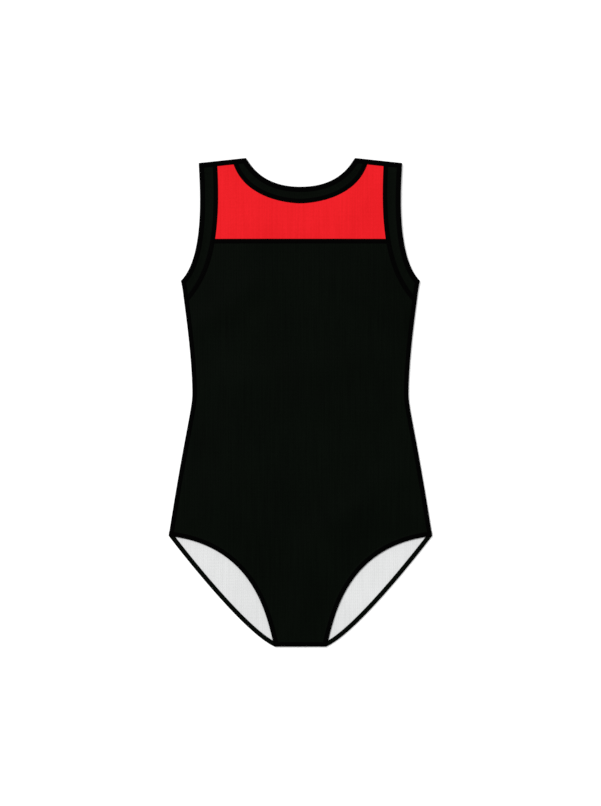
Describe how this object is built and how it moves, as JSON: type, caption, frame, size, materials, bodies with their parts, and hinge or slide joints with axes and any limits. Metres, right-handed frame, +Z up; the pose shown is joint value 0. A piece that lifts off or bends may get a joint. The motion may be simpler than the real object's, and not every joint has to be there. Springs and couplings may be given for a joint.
{
  "type": "leotard",
  "caption": "Sleeveless leotard laid flat, front up, with a coloured yoke, banded neck and armholes and high-cut legs.",
  "frame": {"origin": "middle of the laid-out garment's bounding box, on the surface that it lies on", "axes": "+Y from the crotch seam to the neck, +Z up out of the front, +X towards the wearer's left side"},
  "size_m": [0.3876, 0.7196, 0.006],
  "materials": {
    "black_tricot": "warp-knit nylon and elastane, soft sheen",
    "red_tricot": "warp-knit nylon and elastane, soft sheen",
    "pale_lining": "fine matte lining knit"
  },
  "bodies": {
    "root": {"back_panel": "black_tricot", "seat_lining": "pale_lining", "front_body": "black_tricot", "front_yoke": "red_tricot", "neckband_front": "black_tricot", "neckband_back": "black_tricot", "armband_front_left": "black_tricot", "armband_front_right": "black_tricot", "armband_back_left": "black_tricot", "armband_back_right": "black_tricot", "leg_hem_left": "black_tricot", "leg_hem_right": "black_tricot"}
  },
  "joints": []
}
